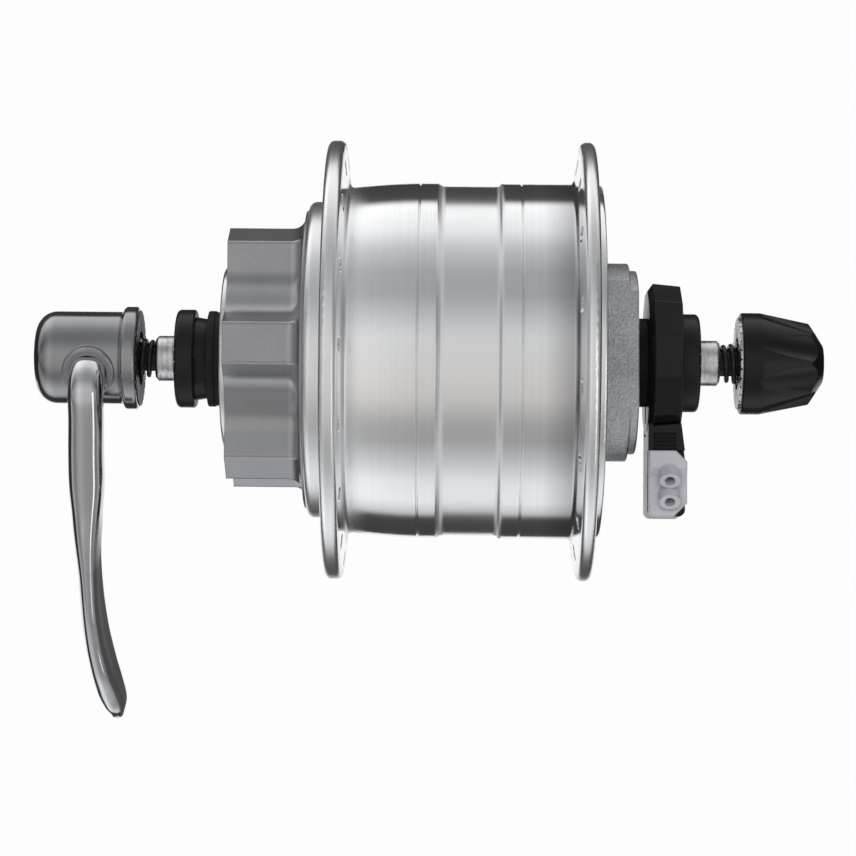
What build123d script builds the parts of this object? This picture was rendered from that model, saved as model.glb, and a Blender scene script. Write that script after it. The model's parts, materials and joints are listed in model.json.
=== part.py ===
from build123d import *
import math
import os

# Hub dynamo for a front wheel, in millimetres.
# The axle lies along Y. +Y points to the brake disc side, -Y to the terminal side, +Z up.
# The origin is on the axle, midway between the two locknut faces.
# The front of the hub, where the quick release lever's elbow is, faces -X.

# Axle and fork gap
over_locknuts = 100.0
axle_r = 4.35
axle_overhang = 4.0
axle_tip_chamfer = 0.5
axle_relief_length = 0.6
axle_relief_depth = 0.35
axle_relief_past = 0.2
thread_gap = 0.05
seat_gap = 0.05
cut_overrun = 1.0
same_place = 0.001
lead_groove_width = 1.5
lead_groove_depth = 1.05
lead_groove_margin = 2.5

# Locknuts
locknut_thickness = 3.4
locknut_r = 9.42
locknut_rounding = 0.9
locknut_bevel = 0.3
locknut_teeth = 24
tooth_depth = 0.3
tooth_width = 0.6
tooth_inner_r = 5.6

# Ball bearings
ball_r = 2.381
ball_count = 9
ball_circle_r = 8.5
ball_gap = 0.15
disc_ball_y = 34.0
terminal_ball_y = -32.0
race_angle = 65.0
cup_angle = 72.0
cup_wall = 1.2
cup_mouth = 2.6
cone_nose = 1.5
cage_gap = 0.12
cage_rim_inner_r = 7.95
cage_rim_outer_r = 9.9
cage_rim_start = 1.3
cage_rim_end = 2.95
cage_finger_half = 0.45
cage_finger_reach = 0.8

# Cones, seals and dust caps
disc_neck_r = 8.0
disc_neck_length = 2.7
disc_neck_slant = 0.4
neck_flat_across = 15.0
disc_seal_r = 9.2
disc_seal_length = 1.5
disc_seal_skirt_r = 9.0
disc_seal_skirt_end = 40.1
cone_body_r = 7.0
terminal_seal_r = 8.5
terminal_seal_end = -37.1
seal_skirt_wall = 0.9
seal_lip = 0.8
dust_cap_inner_r = 9.7
dust_cap_thickness = 1.0
dust_cap_collar = 2.0
dust_cap_collar_wall = 0.7
disc_dust_cap_y = 39.9
terminal_dust_cap_y = -36.6

# Rotor mount, the six-lobe casting on the disc side
spigot_r = 17.5
spigot_height = 1.2
spigot_chamfer = 0.3
rotor_face_y = 39.5
lobe_count = 6
lobe_angle = 25.7
lobe_r = 25.8
lobe_top_half = 3.75
lobe_foot_half = 6.7
lobe_top_rounding = 0.7
lobe_foot_rounding = 6.0
valley_r = 20.2
rotor_bolt_circle = 44.0
rotor_bolt_r = 2.1
rotor_bolt_depth = 10.0
mount_base_r = 28.6
mount_base_edge = 0.4
mount_foot_fillet = 2.6
mount_register_r = 24.0
mount_register_length = 5.0
mount_inner_r = 11.2

# Shell and flanges
ring_end_y = 24.6
ring_r = 30.3
ring_corner = 1.4
disc_flange_outer_y = 21.0
disc_flange_inner_y = 17.9
disc_flange_root_y = 16.9
terminal_flange_root_y = -25.7
terminal_flange_inner_y = -27.0
terminal_flange_outer_y = -29.6
flange_height = 8.0
flange_rounding = 1.15
flange_root_fillet = 0.8
spoke_count = 16
disc_spoke_edge = 3.8
terminal_spoke_edge = 4.4
spoke_hole_r = 1.3
spoke_countersink = 0.3
spoke_phase = 23.3
shell_r = 34.0
crown_drop = 0.9
foot_y = 15.9
crown_y = 3.9
crown_sag = 0.15
groove_width = 0.35
groove_depth = 0.28
disc_groove_y = 3.45
band_end_y = 0.1
recess_depth = 0.55
recess_start_y = -0.75
recess_end_y = -11.45
recess_lip_y = -11.95
terminal_groove_y = -15.75
boss_step = 0.2
boss_end_y = -31.1
boss_chamfer = 0.5
shell_wall = 3.4
cavity_end_y = 18.6

# End cover on the terminal side
cover_thread_gap = 0.05
cover_disc_outer_y = -30.5
cover_disc_inner_y = -26.8
cover_boss_r = 19.0
cover_boss_y = -36.3
cover_end_r = 17.6
cover_end_y = -37.9
cover_edge = 0.35
cover_flat_across = 27.2
cover_flat_angle = 29.0
cover_flat_y = -31.4
cover_hub_r = 15.6
cover_hub_inner_y = -24.6
cover_inner_r = 11.2
gasket_r = 0.9

# Magnets and their steel ring
back_ring_wall = 1.9
back_ring_half = 16.0
magnet_wall = 2.75
magnet_half = 14.0
magnet_count = 4
magnet_arc = 87.0
air_gap = 0.55

# Stator
claw_count = 14
claw_plate = 2.0
claw_wall = 1.6
claw_tip_gap = 0.6
claw_root_half = 2.2
claw_tip_half = 1.7
stator_half = 13.6
core_r = 9.0
bobbin_wall = 1.1
bobbin_flange = 1.0
bobbin_margin = 1.1
winding_margin = 1.1
stator_washer_r = 9.0
stator_washer = 1.0
stator_nut_across = 14.0
stator_nut = 4.0
lead_r = 0.42
lead_hole_r = 0.8
lead_offset = 12.0
lead_bend = 1.6
lead_end_bend = 0.65
lead_turn_y = -21.5
lead_rise_r = 10.5

# Terminal block
terminal_tilt = 24.0
drum_sides = 12
drum_inner_y = -40.0
drum_lip = 1.0
drum_lip_r = 13.9
drum_r = 15.35
drum_outer_r = 14.85
drum_rounding = 0.3
tongue_width = 9.6
tongue_thickness = 4.2
tongue_end = 25.0
tongue_rounding = 0.4
contact_width = 2.6
contact_thickness = 0.5
contact_proud = 0.15
contact_end_margin = 1.2
contact_root = 9.0
lead_slot_width = 2.4

# Plug on the terminal block
plug_gap = 0.3
cap_front = 8.4
cap_back = 6.6
cap_inner_y = -40.05
cap_outer_y = -47.2
cap_shoulder_y = -46.3
cap_top = 12.2
cap_shoulder_drop = 7.0
cap_bottom = 29.7
cap_corner = 1.3
rib_count = 5
rib_pitch = 0.72
rib_depth = 0.35
rib_width = 0.36
rib_start = 14.0
rib_side_margin = 1.0
plug_cover_front = 8.95
plug_cover_back = 6.0
plug_cover_inner_y = -40.15
plug_cover_outer_y = -47.4
plug_cover_top = 17.35
plug_cover_chamfer = 2.1
plug_cover_lower_cut = 2.4
plug_cover_corner = 1.1
plug_cover_rounding = 0.35
plug_step_drop = 3.3
plug_step_depth = 0.9
tube_half_width = 2.05
tube_half_height = 1.6
tube_proud_length = 2.5
tube_length = 5.2
tube_tilt = 35.0
tube_y = -44.0
tube_first_depth = 23.3
tube_pitch = 3.95
wire_bore_r = 0.95
wire_bore_depth = 4.6
clip_thickness = 0.4
clip_length = 5.0

# Quick release skewer and cam lever
skewer_r = 2.45
skewer_clearance = 0.1
skewer_tip_y = -71.0
skewer_tip_chamfer = 0.6
pivot_y = 66.2
cam_throw = 0.65
cam_r = 2.7
cam_clearance = 0.25
head_r = 5.0
head_half = 3.4
housing_face_y = 57.2
housing_end_y = 77.0
housing_ring_r = 9.9
housing_ring_y = 60.1
housing_ring_rounding = 0.7
housing_groove_r = 8.55
housing_groove_width = 0.35
housing_r = 8.9
housing_corner = 4.0
housing_cavity_r = 6.4
housing_cavity_end_y = 73.2
pivot_boss_r = 5.0
pivot_boss_reach = 9.3
pivot_boss_rounding = 0.45
stem_r = 3.4
journal_gap = 0.1
rear_journal_r = 2.0
end_cap_r = 3.6
end_cap_thickness = 1.5
end_cap_rounding = 0.7
elbow_reach = 13.5
lever_length = 70.6
paddle_half_width = 6.3
paddle_offset = 9.6
lever_inset = 3.7
scoop_r = 11.0
scoop_depth = 0.85
# Share of the lever's length, of its shift in, of its shift back,
# of the paddle's half width, and of the stem's radius for the half thickness.
lever_shares = [
    (0.10, 0.00, 0.00, 0.54, 1.00),
    (0.20, -0.07, 0.00, 0.54, 1.01),
    (0.30, -0.10, 0.03, 0.56, 1.01),
    (0.37, -0.13, 0.09, 0.61, 0.89),
    (0.45, -0.16, 0.22, 0.74, 0.79),
    (0.56, -0.12, 0.44, 0.90, 0.68),
    (0.67, -0.07, 0.66, 1.00, 0.68),
    (0.77, 0.09, 0.84, 1.00, 0.72),
    (0.86, 0.37, 0.95, 0.96, 0.76),
    (0.93, 0.67, 1.00, 0.80, 0.78),
    (0.97, 0.90, 1.00, 0.68, 0.66),
    (1.00, 1.00, 1.00, 0.42, 0.38),
]
grip_ring_r = 9.15
grip_ring_face_y = 57.0
grip_ring_end_y = 59.3
grip_ring_hole_r = 5.2
spring_seat_y = 58.4
spring_seat_r = 2.9
grip_teeth = 30
grip_tooth_depth = 0.45
grip_tooth_width = 0.6

# Conical springs
spring_wire = 0.9
spring_end_gap = 0.05
lever_spring_turns = 2.5
lever_spring_small_r = 3.1
lever_spring_large_r = 3.65
nut_spring_turns = 3.5
nut_spring_small_r = 3.15
nut_spring_large_r = 3.85

# Adjusting nut
nut_face_y = -57.9
nut_collar_y = -61.7
nut_shoulder_y = -71.1
nut_end_y = -73.8
nut_r = 9.74
nut_shoulder_r = 7.77
nut_end_r = 3.6
nut_hole_r = 2.9
nut_face_rounding = 0.5
nut_ribs = 8
nut_rib_angle = 20.0
nut_flute_r = 4.3
nut_flute_depth = 1.25
nut_flute_start_y = -62.0
insert_face_y = -57.45
insert_r = 8.8
insert_plate_y = -61.5
insert_hole_r = 5.0
insert_seat_y = -60.0
insert_sleeve_r = 4.6
insert_sleeve_y = -70.5

# Lengths that follow from the values above
half_gap = over_locknuts / 2
axle_half = half_gap + axle_overhang
axle_bore_r = skewer_r + skewer_clearance
bolt_on_r = axle_r + thread_gap
race_r = ball_r + ball_gap
cup_r = ball_circle_r + race_r + cup_wall
cup_seat_r = cup_r + seat_gap
neck_y = half_gap - locknut_thickness
disc_seal_y = neck_y - disc_neck_length
flange_r = shell_r + flange_height
disc_spoke_r = flange_r - disc_spoke_edge
terminal_spoke_r = flange_r - terminal_spoke_edge
foot_r = shell_r - crown_drop
recess_r = shell_r - recess_depth
boss_r = shell_r - boss_step
cavity_r = shell_r - shell_wall
magnet_outer_r = cavity_r - back_ring_wall - seat_gap * 2
magnet_inner_r = magnet_outer_r - magnet_wall
claw_r = magnet_inner_r - air_gap
bobbin_flange_r = claw_r - claw_wall - bobbin_margin
winding_r = bobbin_flange_r - winding_margin
plate_inner = stator_half - claw_plate
drum_end_y = -half_gap + locknut_thickness + locknut_bevel
tongue_y = (drum_inner_y + drum_end_y) / 2
eye_y = pivot_y + cam_throw


def arc_through(start, end, sag):
    """An arc from start to end whose middle stands off the chord by sag, to its right."""
    chord = end - start
    side = Vector(chord.Y, -chord.X).normalized()
    return ThreePointArc(start, (start + end) / 2 + side * sag, end)


def outline(points):
    """A closed face in the plane of X and Y.

    A point is (x, y), (x, y, corner radius) or (x, y, corner radius, sag to the next point).
    """
    corners = [Vector(p[0], p[1]) for p in points]
    count = len(points)
    spans = []
    for i, point in enumerate(points):
        here = corners[i]
        radius = point[2] if len(point) > 2 else 0
        if not radius:
            spans.append((here, None, here))
            continue
        back = (corners[i - 1] - here).normalized()
        ahead = (corners[(i + 1) % count] - here).normalized()
        half = math.radians(back.get_angle(ahead)) / 2
        reach = radius / math.tan(half)
        inward = (back + ahead).normalized()
        middle = here + inward * (radius / math.sin(half) - radius)
        spans.append((here + back * reach, middle, here + ahead * reach))
    edges = []
    for i, point in enumerate(points):
        first, middle, last = spans[i]
        if middle:
            edges.append(ThreePointArc(first, middle, last))
        target = spans[(i + 1) % count][0]
        sag = point[3] if len(point) > 3 else 0
        if sag:
            edges.append(arc_through(last, target, sag))
        elif (target - last).length > same_place:
            edges.append(Line(last, target))
    face = make_face(edges).face()
    return face if face.normal_at().Z > 0 else -face


def turned(points):
    """A solid turned about the axle from an outline of (radius, y) points."""
    return revolve(outline(points), Axis.Y, 360)


def tube(inner_r, outer_r, y_start, y_end):
    """A plain ring about the axle."""
    return turned([(inner_r, y_start), (outer_r, y_start), (outer_r, y_end), (inner_r, y_end)])


def block(x_range, y_range, z_range):
    """A box between pairs of places along the three axes."""
    sizes = [abs(r[1] - r[0]) for r in (x_range, y_range, z_range)]
    middle = [(r[0] + r[1]) / 2 for r in (x_range, y_range, z_range)]
    return Pos(*middle) * Box(*sizes)


def rod_between(start, end, radius):
    """A plain cylinder from start to end."""
    start = Vector(start)
    way = Vector(end) - start
    return extrude(Plane(start, z_dir=way) * Circle(radius), amount=way.length)


def spun(shape, angle):
    """The shape turned about the axle, from -X towards +Z."""
    return shape.rotate(Axis.Y, angle)


def ring_of(shape, count, phase=0):
    """Copies of a shape spaced evenly about the axle."""
    return [spun(shape, phase + i * 360 / count) for i in range(count)]


def face_teeth(face_y, way, inner_r, outer_r, count, depth, width):
    """Radial vee cuts in a ring's end face. way is the sign of the side that the face looks to."""
    floor = face_y - way * depth
    top = face_y + way * depth
    profile = Plane(origin=(-inner_r, 0, 0), x_dir=(0, 0, 1), z_dir=(-1, 0, 0))
    corners = [(0, floor), (width, top), (-width, top)]
    cut = extrude(profile * make_face(Polyline(*corners, close=True)), amount=outer_r - inner_r)
    return ring_of(cut, count)


def axle():
    """The hollow axle, with a thread relief under the face of each locknut."""
    relief_end = half_gap + axle_relief_past
    relief_start = relief_end - axle_relief_length
    relief_r = axle_r - axle_relief_depth
    half = [
        (axle_r, relief_start),
        (relief_r, relief_start),
        (relief_r, relief_end),
        (axle_r, relief_end),
        (axle_r, axle_half - axle_tip_chamfer),
        (axle_r - axle_tip_chamfer, axle_half),
        (axle_bore_r, axle_half),
    ]
    body = turned([(r, -y) for r, y in reversed(half)] + half)
    groove_end = tongue_y - lead_slot_width / 2
    groove = block(
        (-lead_groove_width / 2, lead_groove_width / 2),
        (lead_turn_y + lead_groove_margin, groove_end),
        (-axle_r - cut_overrun, -axle_r + lead_groove_depth),
    )
    return body - spun(groove, terminal_tilt)


def locknut(side):
    """A round locknut with a toothed face. side is 1 at the disc and -1 at the terminals."""
    outer = side * half_gap
    inner = side * (half_gap - locknut_thickness)
    heel = inner - side * locknut_bevel
    points = [
        (bolt_on_r, outer),
        (locknut_r, outer, locknut_rounding),
        (locknut_r, inner),
        (locknut_r - locknut_bevel, heel),
        (bolt_on_r, heel),
    ]
    nut = turned(points)
    teeth = face_teeth(
        outer, side, tooth_inner_r, locknut_r + cut_overrun, locknut_teeth, tooth_depth, tooth_width
    )
    return nut - teeth


def cone(ball_y, way, shoulders):
    """A bearing cone screwed on the axle. way is the side of the ball track that it stands on.

    shoulders lists the points past its ball track.
    """
    angle = math.radians(race_angle)
    nose_r = ball_circle_r - race_r
    top_r = ball_circle_r - race_r * math.cos(angle)
    top_y = ball_y + way * race_r * math.sin(angle)
    sag = race_r * (1 - math.cos(angle / 2))
    start_y = ball_y - way * cone_nose
    points = [
        (bolt_on_r, start_y),
        (nose_r, start_y),
        (nose_r, ball_y, 0, -way * sag),
        (top_r, top_y),
    ]
    return turned(points + shoulders)


def disc_side_cone():
    heel = neck_y - locknut_bevel
    shoulders = [
        (cone_body_r, disc_ball_y + cage_rim_end + seat_gap),
        (cone_body_r, disc_seal_y),
        (disc_neck_r - disc_neck_slant, disc_seal_y),
        (disc_neck_r, heel),
        (bolt_on_r, heel),
    ]
    body = cone(disc_ball_y, 1, shoulders)
    return body - wrench_flats(neck_flat_across, disc_seal_y, heel, disc_neck_r, 0)


def terminal_side_cone():
    seal_start = drum_inner_y
    shoulders = [
        (cone_body_r, terminal_ball_y - cage_rim_end - seat_gap),
        (cone_body_r, seal_start),
        (bolt_on_r, seal_start),
    ]
    return cone(terminal_ball_y, -1, shoulders)


def wrench_flats(across, y_start, y_end, outer_r, angle):
    """Two cutters that leave parallel flats, square to the direction at that angle."""
    reach = outer_r + cut_overrun
    front = block((-reach, -across / 2), (y_start, y_end), (-reach, reach))
    return [spun(front, angle + turn) for turn in (0, 180)]


def disc_side_seal():
    inner = cone_body_r + seat_gap
    outer_y = disc_seal_y
    inner_y = disc_seal_y - disc_seal_length
    return turned([
        (inner, outer_y),
        (disc_seal_r, outer_y, seal_lip / 4),
        (disc_seal_r, inner_y, seal_lip / 4),
        (disc_seal_skirt_r, inner_y),
        (disc_seal_skirt_r, disc_seal_skirt_end),
        (disc_seal_skirt_r - seal_skirt_wall, disc_seal_skirt_end),
        (disc_seal_skirt_r - seal_skirt_wall, inner_y),
        (inner, inner_y - seal_lip),
    ])


def terminal_side_seal():
    inner = cone_body_r + seat_gap
    return turned([
        (inner, drum_inner_y),
        (terminal_seal_r, drum_inner_y),
        (terminal_seal_r, cover_end_y - seal_lip / 4),
        (terminal_seal_r, terminal_seal_end),
        (terminal_seal_r - seal_skirt_wall, terminal_seal_end),
        (inner, terminal_seal_end - seal_lip),
    ])


def dust_cap(face_y, way):
    """A pressed cap in the mouth of a bearing seat. way is the side that it looks to."""
    back_y = face_y - way * dust_cap_thickness
    collar_y = face_y - way * dust_cap_collar
    return turned([
        (dust_cap_inner_r, face_y),
        (cup_r, face_y),
        (cup_r, collar_y),
        (cup_r - dust_cap_collar_wall, collar_y),
        (cup_r - dust_cap_collar_wall, back_y),
        (dust_cap_inner_r, back_y),
    ])


def bearing_cup(ball_y, way):
    """A cup pressed in the hub, open to the side given by way."""
    angle = math.radians(cup_angle)
    track_r = ball_circle_r + race_r
    low_r = ball_circle_r + race_r * math.cos(angle)
    low_y = ball_y - way * race_r * math.sin(angle)
    sag = race_r * (1 - math.cos(angle / 2))
    back_y = ball_y - way * (race_r + cup_wall)
    mouth_y = ball_y + way * cup_mouth
    return turned([
        (cup_r, back_y),
        (cup_r, mouth_y),
        (track_r, mouth_y),
        (track_r, ball_y, 0, -way * sag),
        (low_r, low_y),
        (low_r, back_y),
    ])


def balls(ball_y):
    ball = Pos(-ball_circle_r, ball_y, 0) * Sphere(ball_r)
    return ring_of(ball, ball_count)


def ball_cage(ball_y, way):
    """A pressed ball retainer: a rim beside the balls with a finger between each two of them."""
    rim_start = ball_y + way * cage_rim_start
    rim_end = ball_y + way * cage_rim_end
    finger_end = ball_y - way * cage_finger_reach
    rim = tube(cage_rim_inner_r, cage_rim_outer_r, rim_start, rim_end)
    fingers = tube(
        ball_circle_r - cage_finger_half, ball_circle_r + cage_finger_half, finger_end, rim_start
    )
    pocket = rod_between(
        (-ball_circle_r + race_r, ball_y, 0), (-cup_r, ball_y, 0), ball_r + cage_gap
    )
    return rim + fingers - ring_of(pocket, ball_count)


def lobe_plate():
    """The rotor mount's six-lobe outline as a sketch, with one lobe on the +X side."""
    top_x = math.sqrt(lobe_r ** 2 - lobe_top_half ** 2)
    foot_x = math.sqrt(valley_r ** 2 - lobe_foot_half ** 2)
    lobe = make_face(Polyline(
        (0, -lobe_foot_half),
        (foot_x, -lobe_foot_half),
        (top_x, -lobe_top_half),
        (top_x, lobe_top_half),
        (foot_x, lobe_foot_half),
        (0, lobe_foot_half),
        close=True,
    ))
    plate = Circle(valley_r) + [Rot(0, 0, i * 360 / lobe_count) * lobe for i in range(lobe_count)]
    middle_r = (lobe_r + valley_r) / 2
    tops = plate.vertices().filter_by(lambda v: Vector(v).length > middle_r)
    plate = fillet(tops, lobe_top_rounding)
    feet = plate.vertices().filter_by(lambda v: Vector(v).length < valley_r + seat_gap)
    return fillet(feet, lobe_foot_rounding)


def rotor_mount():
    """The lobed casting on a thin round base, with one hollow corner all round where they meet."""
    base_y = ring_end_y + seat_gap
    step_y = base_y + mount_base_edge
    register_y = base_y - mount_register_length
    seat_y = disc_ball_y - race_r - cup_wall - seat_gap
    spigot_y = rotor_face_y + spigot_height
    face = Plane(origin=(0, step_y, 0), x_dir=(-1, 0, 0), z_dir=(0, 1, 0))
    casting = rod_between((0, base_y, 0), (0, step_y, 0), mount_base_r)
    casting += extrude(face * lobe_plate(), amount=rotor_face_y - step_y)
    corner = casting.edges().filter_by_position(Axis.Y, step_y - same_place, step_y + same_place)
    corner = corner.filter_by(lambda e: math.hypot((e @ 0.5).X, (e @ 0.5).Z) < mount_base_r - same_place)
    casting = fillet(corner, mount_foot_fillet)
    casting -= tube(0, spigot_r - cut_overrun, base_y - cut_overrun, rotor_face_y + cut_overrun)
    core = turned([
        (mount_inner_r, register_y),
        (mount_register_r, register_y),
        (mount_register_r, base_y + mount_base_edge / 2),
        (spigot_r, base_y + mount_base_edge / 2),
        (spigot_r, spigot_y - spigot_chamfer),
        (spigot_r - spigot_chamfer, spigot_y),
        (cup_seat_r, spigot_y),
        (cup_seat_r, seat_y),
        (mount_inner_r, seat_y),
    ])
    body = spun(casting, lobe_angle) + core
    hole = rod_between(
        (-rotor_bolt_circle / 2, rotor_face_y + cut_overrun, 0),
        (-rotor_bolt_circle / 2, rotor_face_y - rotor_bolt_depth, 0),
        rotor_bolt_r,
    )
    return body - ring_of(hole, lobe_count, lobe_angle)


def groove_points(centre_y, radius):
    """A fine turned groove in the shell, walked towards -Y."""
    half = groove_width / 2
    floor = radius - groove_depth
    return [
        (radius, centre_y + half),
        (floor, centre_y + half / 2),
        (floor, centre_y - half / 2),
        (radius, centre_y - half),
    ]


def spoke_cutter(circle_r, outer_y, inner_y):
    """One spoke hole through a flange, countersunk from both faces, on the -X side."""
    top = max(outer_y, inner_y)
    low = min(outer_y, inner_y)
    sink = spoke_countersink
    wide = spoke_hole_r + sink
    cutter = turned([
        (0, top + sink),
        (wide + sink, top + sink),
        (spoke_hole_r, top - sink),
        (spoke_hole_r, low + sink),
        (wide + sink, low - sink),
        (0, low - sink),
    ])
    return Pos(-circle_r, 0, 0) * cutter


def flange_face_y(circle_r, rim_y, root_y, root_r):
    """The place of a flange's slanted inner face at the circle of its spoke holes."""
    share = (flange_r - circle_r) / (flange_r - root_r)
    return rim_y + (root_y - rim_y) * share


def hub_shell():
    bore_r = mount_register_r + seat_gap
    points = [
        (bore_r, ring_end_y),
        (ring_r, ring_end_y, ring_corner),
        (ring_r, disc_flange_outer_y, flange_root_fillet / 2),
        (flange_r, disc_flange_outer_y, flange_rounding),
        (flange_r, disc_flange_inner_y, flange_rounding),
        (foot_r, disc_flange_root_y, flange_root_fillet),
        (foot_r, foot_y, 0, -crown_sag),
        (shell_r, crown_y),
    ]
    points += groove_points(disc_groove_y, shell_r)
    points += [
        (shell_r, band_end_y),
        (recess_r, recess_start_y),
        (recess_r, recess_end_y),
        (shell_r, recess_lip_y),
    ]
    points += groove_points(terminal_groove_y, shell_r)
    points += [
        (shell_r, terminal_flange_root_y, flange_root_fillet),
        (flange_r, terminal_flange_inner_y, flange_rounding),
        (flange_r, terminal_flange_outer_y, flange_rounding),
        (boss_r, terminal_flange_outer_y, flange_root_fillet / 2),
        (boss_r, boss_end_y, boss_chamfer),
        (cavity_r, boss_end_y),
        (cavity_r, cavity_end_y),
        (bore_r, cavity_end_y),
    ]
    shell = turned(points)
    near_y = flange_face_y(disc_spoke_r, disc_flange_inner_y, disc_flange_root_y, foot_r)
    far_y = flange_face_y(terminal_spoke_r, terminal_flange_inner_y, terminal_flange_root_y, shell_r)
    near = spoke_cutter(disc_spoke_r, disc_flange_outer_y, near_y)
    far = spoke_cutter(terminal_spoke_r, far_y, terminal_flange_outer_y)
    stagger = 180 / spoke_count
    holes = ring_of(near, spoke_count, spoke_phase)
    holes += ring_of(far, spoke_count, spoke_phase + stagger)
    return shell - holes


def gasket_y():
    """The height of the rubber ring in the middle of the cover's rim."""
    return (cover_disc_outer_y + cover_disc_inner_y) / 2


def end_cover():
    rim_r = cavity_r - cover_thread_gap
    seat_y = terminal_ball_y + race_r + cup_wall + seat_gap
    groove_half = gasket_r + seat_gap
    groove_floor = rim_r - 2 * gasket_r
    body = turned([
        (cover_inner_r, cover_hub_inner_y),
        (cover_hub_r, cover_hub_inner_y),
        (cover_hub_r, cover_disc_inner_y, flange_root_fillet),
        (rim_r, cover_disc_inner_y),
        (rim_r, gasket_y() + groove_half),
        (groove_floor, gasket_y() + groove_half),
        (groove_floor, gasket_y() - groove_half),
        (rim_r, gasket_y() - groove_half),
        (rim_r, cover_disc_outer_y),
        (cover_boss_r, cover_disc_outer_y, flange_root_fillet),
        (cover_boss_r, cover_boss_y, cover_edge),
        (cover_end_r, cover_boss_y),
        (cover_end_r, cover_end_y, cover_edge),
        (cup_seat_r, cover_end_y),
        (cup_seat_r, seat_y),
        (cover_inner_r, seat_y),
    ])
    past_end = cover_end_y - cut_overrun
    flats = wrench_flats(cover_flat_across, cover_flat_y, past_end, cover_boss_r, cover_flat_angle)
    return body - flats


def cover_gasket():
    """A rubber ring in the cover's rim groove, flat where it meets the shell's bore."""
    outer = cavity_r - seat_gap
    inner = cavity_r - cover_thread_gap - 2 * gasket_r + seat_gap
    round_off = gasket_r / 2
    return turned([
        (inner, gasket_y() - gasket_r, round_off),
        (outer, gasket_y() - gasket_r, round_off),
        (outer, gasket_y() + gasket_r, round_off),
        (inner, gasket_y() + gasket_r, round_off),
    ])


def back_ring():
    outer = cavity_r - seat_gap
    return tube(outer - back_ring_wall, outer, -back_ring_half, back_ring_half)


def rotor_magnets():
    """Curved ferrite magnets bonded inside the steel ring."""
    profile = outline([
        (magnet_inner_r, -magnet_half),
        (magnet_outer_r, -magnet_half),
        (magnet_outer_r, magnet_half),
        (magnet_inner_r, magnet_half),
    ])
    return ring_of(revolve(profile, Axis.Y, magnet_arc), magnet_count)


def claw_yoke(side):
    """A pressed steel plate with claws bent over the coil. side is the end that the plate is on."""
    plate = tube(bolt_on_r, claw_r, side * plate_inner, side * stator_half)
    rim = tube(claw_r - claw_wall, claw_r, -stator_half, stator_half)
    root_y = side * plate_inner
    tip_y = -side * (plate_inner - claw_tip_gap)
    lobe = Plane(origin=(-claw_r / 2, 0, 0), x_dir=(0, 0, 1), z_dir=(-1, 0, 0)) * make_face(Polyline(
        (-claw_root_half, root_y),
        (claw_root_half, root_y),
        (claw_tip_half, tip_y),
        (-claw_tip_half, tip_y),
        close=True,
    ))
    claw = extrude(lobe, amount=claw_r) & rim
    phase = 0 if side > 0 else 180 / claw_count
    yoke = plate + ring_of(claw, claw_count, phase)
    return yoke if side > 0 else yoke - spun(lead_hole(), terminal_tilt)


def lead_hole():
    """The hole that the coil's lead leaves by, below the axle."""
    return rod_between(
        (0, -plate_inner + claw_plate + cut_overrun, -lead_offset),
        (0, -stator_half - cut_overrun, -lead_offset),
        lead_hole_r,
    )


def stator_core():
    return tube(bolt_on_r, core_r, -plate_inner + seat_gap, plate_inner - seat_gap)


def bobbin_half():
    """Half of the bobbin's width, just inside the plates."""
    return plate_inner - seat_gap


def coil_bobbin():
    inner = core_r + seat_gap
    barrel = inner + bobbin_wall
    inside = bobbin_half() - bobbin_flange
    spool = turned([
        (inner, -bobbin_half()),
        (bobbin_flange_r, -bobbin_half()),
        (bobbin_flange_r, -inside),
        (barrel, -inside),
        (barrel, inside),
        (bobbin_flange_r, inside),
        (bobbin_flange_r, bobbin_half()),
        (inner, bobbin_half()),
    ])
    return spool - spun(lead_hole(), terminal_tilt)


def coil_winding():
    inner = core_r + bobbin_wall + seat_gap * 2
    half = bobbin_half() - bobbin_flange - seat_gap
    return tube(inner, winding_r, -half, half)


def stator_washers():
    """A washer against each claw plate."""
    inner_y = stator_half + seat_gap
    outer_y = inner_y + stator_washer
    return [
        tube(bolt_on_r, stator_washer_r, side * inner_y, side * outer_y) for side in (1, -1)
    ]


def stator_nuts():
    """The two hexagon nuts that clamp the stator on the axle."""
    corner_r = stator_nut_across / 2 / math.cos(math.pi / 6)
    start = stator_half + stator_washer + 2 * seat_gap
    nuts = []
    for side in (1, -1):
        face = Plane(origin=(0, side * start, 0), x_dir=(1, 0, 0), z_dir=(0, side, 0))
        prism = extrude(face * RegularPolygon(corner_r, 6), amount=stator_nut)
        bore = tube(0, bolt_on_r, side * (start - cut_overrun), side * (start + stator_nut + cut_overrun))
        nuts.append(prism - bore)
    return nuts


def lead_wire():
    """The insulated lead from the coil to the live contact, partly in the axle's groove."""
    coil_y = -(bobbin_half() - bobbin_flange) - seat_gap
    groove_z = -axle_r + lead_groove_depth - lead_r - seat_gap
    end_y = tongue_y
    path = FilletPolyline(
        (0, coil_y, -lead_offset),
        (0, lead_turn_y, -lead_offset),
        (0, lead_turn_y - lead_bend, groove_z),
        (0, end_y, groove_z),
        (0, end_y, -lead_rise_r),
        radius=[lead_bend, lead_bend, lead_end_bend],
    )
    start = Plane(origin=path @ 0, z_dir=path % 0)
    wire = sweep(start * Circle(lead_r), path=path)
    return spun(wire, terminal_tilt)


def drum_face(radius, y):
    """The drum's polygon at a height, with a flat facing down and another facing the front."""
    face = Plane(origin=(0, y, 0), x_dir=(1, 0, 0), z_dir=(0, -1, 0))
    return face * RegularPolygon(radius, drum_sides, rotation=180 / drum_sides)


def drum(margin=0):
    """The drum's solid, or a larger copy that clears it by the margin."""
    return loft(
        [
            drum_face(drum_lip_r + margin, drum_inner_y + margin),
            drum_face(drum_r + margin, drum_inner_y - drum_lip),
            drum_face(drum_outer_r + margin, drum_end_y - margin),
        ],
        ruled=True,
    )


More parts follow.
